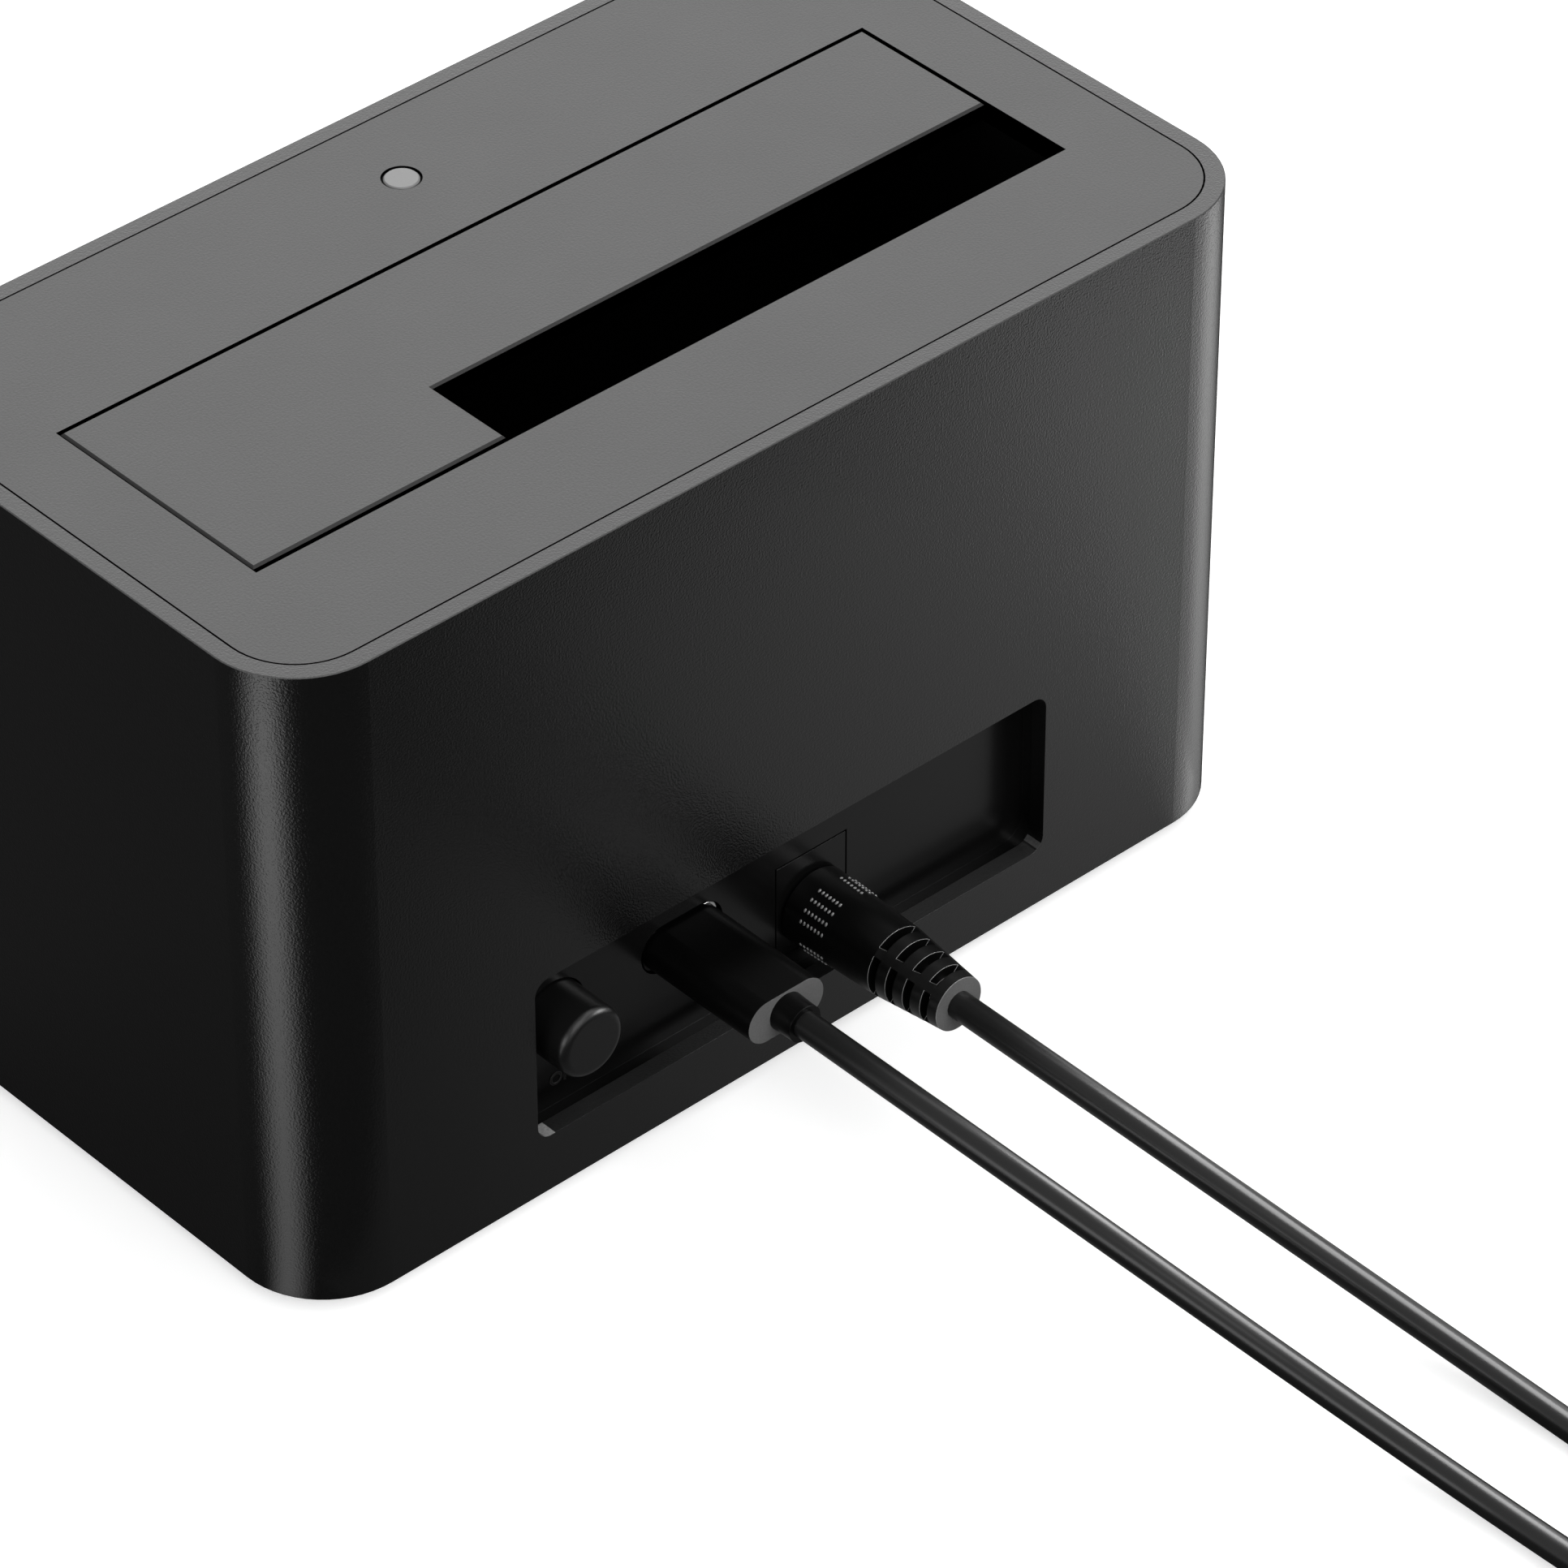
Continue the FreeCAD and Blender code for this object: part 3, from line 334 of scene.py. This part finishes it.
def moulded(name, color, roughness, grain=0.22 * MM, relief=0.003 * MM, ease=0.1 * MM, specular=0.5,
            mottle=0.15, patches=(), **more):
    """Moulded or metal surface with fine grain, mottled colour, uneven polish and eased edges.
    Each patch is a mask, its grey level and its roughness; several patches paint highlights, reflections or
    shade onto the surface."""
    unevenness = 0.06
    broad_scale = 90.0
    material = bpy.data.materials.new(name)
    material.use_nodes = True
    tree = Nodes(material.node_tree)
    place = tree.add("ShaderNodeTexCoord").outputs["Object"]
    face = tree.add("ShaderNodeNewGeometry").outputs["True Normal"]
    eased = tree.add("ShaderNodeBevel", {"Radius": ease}, samples=4).outputs["Normal"]
    fine = tree.add("ShaderNodeTexNoise", {"Vector": place, "Scale": 1 / grain,
                                           "Detail": 1.0}).outputs["Fac"]
    broad = tree.add("ShaderNodeTexNoise", {"Vector": place, "Scale": broad_scale, "Detail": 4.0})
    polish = tree.add("ShaderNodeMapRange", {"Value": broad.outputs["Fac"],
                                             "To Min": roughness * (1 - unevenness),
                                             "To Max": roughness * (1 + unevenness)}).outputs["Result"]
    tone = tree.add("ShaderNodeMapRange", {"Value": fine, "To Min": 1 - mottle,
                                           "To Max": 1 + mottle}).outputs["Result"]
    tint = scaled(tree, color, tone)
    for make_mask, level, patch_roughness in patches:
        mask = make_mask(tree, place, face, eased)
        tint = tree.add("ShaderNodeMix", {"Factor": mask, "A": tint, "B": scaled(tree, grey(level), tone)},
                        data_type="RGBA").outputs["Result"]
        polish = tree.add("ShaderNodeMix", {"Factor": mask, "A": polish, "B": patch_roughness},
                          data_type="FLOAT").outputs["Result"]
    bump = tree.add("ShaderNodeBump", {"Height": fine, "Distance": relief, "Strength": 1.0,
                                       "Normal": eased})
    shader = tree.add("ShaderNodeBsdfPrincipled",
                      {"Base Color": tint, "Roughness": polish, "Normal": bump.outputs["Normal"],
                       "Specular IOR Level": specular, **more})
    tree.add("ShaderNodeOutputMaterial", {"Surface": shader.outputs["BSDF"]})
    return material


def shell_plastic():
    # The sill's upward face has a rougher finish, and its lighter grey is painted light from above.
    sill = flat_at((0, 0, 1), sill_z)
    # The sill's rounded end gets a painted highlight in light grey.
    return moulded("shell_plastic", grey(0.004), 0.18, relief=0.036 * MM, ease=0.04 * MM, specular=0.38,
                   mottle=0.5,
                   # Light grey on the top bevels is a painted highlight along the upper edges.
                   patches=[(sill, 0.01, 0.5), (sill_corner_highlight, 0.35, 0.5), (top_bevel, 0.055, 0.5)])


def lid_plastic():
    # The lid's top bevels and upright faces are painted black: painted shade along the seams and in the
    # slot.
    return moulded("lid_plastic", grey(0.009), 0.42, grain=0.26 * MM, relief=0.03 * MM, ease=0.03 * MM,
                   specular=0.46, mottle=0.9, patches=[(top_bevel, 0.0, 0.6), (upright, 0.0, 0.08)])


def port_plastic():
    return moulded("port_plastic", grey(0.005), 0.24, ease=0.04 * MM, specular=0.18)


def inner_plastic():
    # Near black: black plastic, darkened further as painted shade inside the slot.
    return moulded("inner_plastic", grey(0.001), 0.8, specular=0.02)


def sleeve_plastic():
    # Matt near black: dark plastic, darkened as painted shade to join the dark gap round the light.
    return moulded("sleeve_plastic", grey(0.002), 0.8, specular=0.1)


def glossy_plastic():
    return moulded("glossy_plastic", grey(0.008), 0.25, relief=0.001 * MM)


def button_plastic():
    return moulded("button_plastic", grey(0.006), 0.3, relief=0.002 * MM, specular=0.3)


def plug_rubber():
    # The plugs' +Y end faces are painted light grey: a painted reflection of the pale floor.
    end = flat_at((0, 1, 0), usb_face)
    return moulded("plug_rubber", grey(0.0015), 0.3, specular=0.12, patches=[(end, 0.18, 0.4)])


def relief_rubber():
    # The plug's +Y end face is painted light grey: a painted reflection of the pale floor.
    end = flat_at((0, 1, 0), dc_cord_start)
    # Edges of the grip's slots and rim turned towards +Y are painted light grey: a painted highlight.
    edge_highlights = edge_towards((0, 1, 0))
    return moulded("relief_rubber", grey(0.0015), 0.3, ease=0.09 * MM, specular=0.28,
                   patches=[(end, 0.18, 0.4), (edge_highlights, 0.6, 0.4)])


def mouth_steel():
    # The socket shell is coloured near black as painted shade in the mouth, with a painted highlight at its
    # top corner.
    centre = (usb_x - 4.2 * MM, usb_z + 1.4 * MM)
    painted_glint = near_place(centre, 1.0 * MM)
    return moulded("mouth_steel", grey(0.02), 0.5, mottle=0.06, Metallic=1.0,
                   patches=[(painted_glint, 0.6, 0.25)])


def stud_highlight_rubber():
    # The studs' light grey is a painted highlight on the black rubber.
    return moulded("stud_highlight_rubber", grey(0.22), 0.3, relief=0.001 * MM)


def mark_paint():
    # The letters' edges turned towards +Y are painted light grey: a painted highlight.
    letter_edge_highlights = edge_towards((0, 1, 0))
    return moulded("mark_paint", grey(0.001), 0.4, ease=0.05 * MM, relief=0.001 * MM,
                   patches=[(letter_edge_highlights, 0.2, 0.4)])


def cord_rubber():
    return moulded("cord_rubber", grey(0.008), 0.28, specular=0.27)


def foot_rubber():
    return moulded("foot_rubber", grey(0.02), 0.8, specular=0.3)


def light_plastic():
    return moulded("light_plastic", grey(0.205), 0.45, relief=0.001 * MM, mottle=0.04)


def steel():
    return moulded("steel", grey(0.6), 0.28, relief=0.001 * MM, mottle=0.06, Metallic=1.0)


def gold():
    return moulded("gold", (0.8, 0.58, 0.25), 0.3, relief=0.001 * MM, mottle=0.06, Metallic=1.0)


def board_green():
    return moulded("board_green", (0.012, 0.075, 0.03), 0.4, grain=1.2 * MM, mottle=0.3)


def chip_black():
    return moulded("chip_black", grey(0.015), 0.5)


def coil_ferrite():
    return moulded("coil_ferrite", grey(0.05), 0.7)


def can_metal():
    return moulded("can_metal", grey(0.7), 0.3, relief=0.001 * MM, mottle=0.05, Metallic=1.0)


def switch_plastic():
    return moulded("switch_plastic", grey(0.4), 0.5)


finishes = {
    shell_plastic: ["housing", "base_plate", "adapter_body"],
    lid_plastic: ["top_panel", "flap"],
    port_plastic: ["port_panel", "dc_jack"],
    inner_plastic: ["bay_frame"],
    sleeve_plastic: ["light_bezel"],
    glossy_plastic: ["drive_socket", "usb_socket_tongue", "power_switch"],
    button_plastic: ["power_button"],
    plug_rubber: ["usb_plug", "usb_far_plug"],
    relief_rubber: ["dc_plug"],
    mouth_steel: ["usb_socket_shell"],
    cord_rubber: ["usb_cord", "dc_cord", "usb_coil", "dc_coil"],
    foot_rubber: ["rubber_feet"],
    light_plastic: ["light_pipe", "status_lamp"],
    steel: ["flap_hinge_pin", "flap_spring", "usb_plug_tip", "usb_far_tip", "dc_jack_pin", "dc_plug_barrel",
            "adapter_blades", "base_screws", "board_screws", "panel_screws", "port_screws"],
    gold: ["drive_contacts"],
    board_green: ["main_board"],
    chip_black: ["bridge_chip"],
    coil_ferrite: ["power_coils"],
    can_metal: ["capacitors"],
    switch_plastic: ["power_plunger"],
}


def paint(piece, material):
    piece.data.materials.clear()
    piece.data.materials.append(material)
    return piece


def finish_nodes():
    """Give every CAD node its material, and return the materials by their functions."""
    made = {}
    for make, names in finishes.items():
        made[make] = make()
        for name in names:
            for material_slot in nodes[name].material_slots:
                material_slot.material = made[make]
    return made


# Studio
def background_seen(tree, mirror_share=1.0):
    """1 for what the camera sees directly or through glass, and a share for what a surface mirrors."""
    path = tree.add("ShaderNodeLightPath")
    mirrored = product(tree, path.outputs["Is Glossy Ray"], mirror_share)
    direct = tree.add("ShaderNodeMath", {0: path.outputs["Is Camera Ray"],
                                         1: path.outputs["Is Transmission Ray"]}, operation="ADD")
    both = tree.add("ShaderNodeMath", {0: direct.outputs["Value"], 1: mirrored}, operation="ADD",
                    use_clamp=True)
    return both.outputs["Value"]


def stage_sheet(name, points, faces):
    """Flat sheet that belongs to the studio and not to the object."""
    mesh = bpy.data.meshes.new(name)
    mesh.from_pydata(points, [], faces)
    sheet = bpy.data.objects.new(name, mesh)
    bpy.context.scene.collection.objects.link(sheet)
    material = bpy.data.materials.new(name)
    material.use_nodes = True
    mesh.materials.append(material)
    return sheet, Nodes(material.node_tree)


def pale_floor():
    """White floor that keeps the object's shadow. Only a small share of its white is mirrored, because
    the body's dark upright faces come out far too light with more, and the light sheets give the rest."""
    half = 3.0
    mirror_share = 0.04
    glow = 0.6
    unseen, pale = (*grey(0.03), 1), (*grey(0.8), 1)
    _, tree = stage_sheet("floor", [(-half, -half, 0), (half, -half, 0), (half, half, 0), (-half, half, 0)],
                          [(0, 1, 2, 3)])
    seen = background_seen(tree, mirror_share)
    color = tree.add("ShaderNodeMix", {"Factor": seen, "A": unseen, "B": pale}, data_type="RGBA")
    lit = tree.add("ShaderNodeBsdfDiffuse", {"Color": color.outputs["Result"]})
    strength = tree.add("ShaderNodeMapRange", {"Value": seen, "To Min": 0.0, "To Max": glow})
    glowing = tree.add("ShaderNodeEmission", {"Strength": strength.outputs["Result"]})
    total = tree.add("ShaderNodeAddShader", {0: lit.outputs["BSDF"], 1: glowing.outputs["Emission"]})
    tree.add("ShaderNodeOutputMaterial", {"Surface": total.outputs["Shader"]})


def light_sheet(name, height, strips):
    """Clear glowing sheet over the floor that only mirrored light shows, for the soft bands on upright
    faces. Each strip is a near and a far point (x, y, level), and the level runs evenly between them."""
    ends = [end for strip in strips for end in strip]
    faces = [(first, first + 1, first + 3, first + 2) for first in range(0, len(ends) - 2, 2)]
    sheet, tree = stage_sheet(name, [(x, y, height) for x, y, _ in ends], faces)
    for kind in ("camera", "diffuse", "transmission", "volume_scatter", "shadow"):
        setattr(sheet, "visible_" + kind, False)
    levels = sheet.data.attributes.new("level", "FLOAT", "POINT")
    for item, (_, _, level) in zip(levels.data, ends):
        item.value = level
    level = tree.add("ShaderNodeAttribute", attribute_name="level")
    glowing = tree.add("ShaderNodeEmission", {"Strength": level.outputs["Fac"]})
    clear = tree.add("ShaderNodeBsdfTransparent")
    total = tree.add("ShaderNodeAddShader", {0: glowing.outputs["Emission"], 1: clear.outputs["BSDF"]})
    tree.add("ShaderNodeOutputMaterial", {"Surface": total.outputs["Shader"]})


def corner_fan(centre, first, last, near_level, far_level):
    """Strips of the floor patch that is mirrored in a round corner between two angles."""
    near_reach = 1 * MM
    steps = 12
    strips = []
    for step in range(steps + 1):
        share = math.sin(math.pi * step / steps) ** 2
        angle = first + (last - first) * step / steps
        face = math.radians(angle)
        ray = math.radians(2 * angle - view_way)
        x = centre[0] + corner_radius * math.cos(face)
        y = centre[1] + corner_radius * math.sin(face)
        strips.append([(x + reach * math.cos(ray), y + reach * math.sin(ray), level * share)
                       for reach, level in ((near_reach, near_level), (fan_reach, far_level))])
    return strips


def wall_band(y, first_x, last_x, first_level, last_level):
    """Strips of the floor patch that is mirrored in the flat wall round the ports."""
    near_share = 0.42
    rise_power = 1.25
    steps = 6
    ray = math.radians(180 - view_way)
    way = Vector((math.cos(ray), math.sin(ray))) * fan_reach
    strips = []
    for step in range(steps + 1):
        share = step / steps
        x = first_x + (last_x - first_x) * share
        level = first_level + (last_level - first_level) * share ** rise_power
        strips.append([(x, y, near_share * level), (x + way.x, y + way.y, level)])
    return strips


def pale_world():
    """World that is white where it is seen or mirrored, and a weaker fill light elsewhere."""
    fill = 0.25
    world = bpy.data.worlds.new("studio")
    world.use_nodes = True
    bpy.context.scene.world = world
    tree = Nodes(world.node_tree)
    strength = tree.add("ShaderNodeMapRange", {"Value": background_seen(tree), "To Min": fill,
                                               "To Max": 1.0})
    background = tree.add("ShaderNodeBackground", {"Color": (1, 1, 1, 1),
                                                   "Strength": strength.outputs["Result"]})
    tree.add("ShaderNodeOutputWorld", {"Surface": background.outputs["Background"]})


def lamp(name, size, level):
    """Area light whose face has the given brightness, and which the camera doesn't see."""
    data = bpy.data.lights.new(name, "AREA")
    data.shape = "RECTANGLE"
    data.size, data.size_y = size
    data.energy = level * math.pi * size[0] * size[1]
    light = bpy.data.objects.new(name, data)
    light.visible_camera = False
    bpy.context.scene.collection.objects.link(light)
    return light


def softbox(name, azimuth, elevation, distance, size, level):
    """Lamp at a compass angle from +X towards +Y, turned to the object."""
    light = lamp(name, size, level)
    turn, lift = math.radians(azimuth), math.radians(elevation)
    way = Vector((math.cos(turn) * math.cos(lift), math.sin(turn) * math.cos(lift), math.sin(lift)))
    light.location = studio_aim + way * distance
    light.rotation_euler = (-way).to_track_quat("-Z", "Y").to_euler()


def cord_lamp():
    """Small lamp beside the cords for the long highlight on their tops."""
    light = lamp("cord_lamp", (0.034, 0.060), 13.5)
    light.location = (usb_floor_x - 34 * MM, 88 * MM, 50 * MM)
    light.rotation_euler = (0, math.radians(-30), 0)
    light.visible_diffuse = False


def studio_lights():
    low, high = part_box("housing")
    near_corner = (high.x - corner_radius, high.y - corner_radius)
    right_corner = (low.x + corner_radius, high.y - corner_radius)
    softbox("far_softbox", 228, 42, 1.6, (1.8, 1.6), 2.15)
    softbox("front_softbox", 75, 40, 1.5, (1.2, 1.2), 2.2)
    softbox("side_softbox", 10, 6, 1.2, (1.0, 0.6), 3.4)
    softbox("right_softbox", 140, 58, 1.4, (0.8, 0.8), 2.0)
    cord_lamp()
    light_sheet("near_sheet", 0.4 * MM, corner_fan(near_corner, 12, 44, 1.5, 3.75))
    light_sheet("right_sheet", 0.5 * MM, corner_fan(right_corner, 84, 125, 1.2, 2.9))
    light_sheet("edge_sheet", 0.7 * MM, corner_fan(right_corner, 116, 126, 0.35, 0.05))
    light_sheet("wall_sheet", 0.6 * MM, wall_band(high.y, high.x, low.x, 0.1, 1.3))


bpy.context.scene.view_settings.view_transform = "Standard"
photo_camera()
leads = [usb_cord(), dc_cord()]
made = finish_nodes()
for lead in leads:
    paint(lead, made[cord_rubber])
studs = paint(grip_studs(), stud_highlight_rubber())
mark = paint(button_mark(), mark_paint())
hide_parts("usb_cord", "usb_coil")
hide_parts("dc_cord", "dc_coil")
pale_floor()
pale_world()
studio_lights()
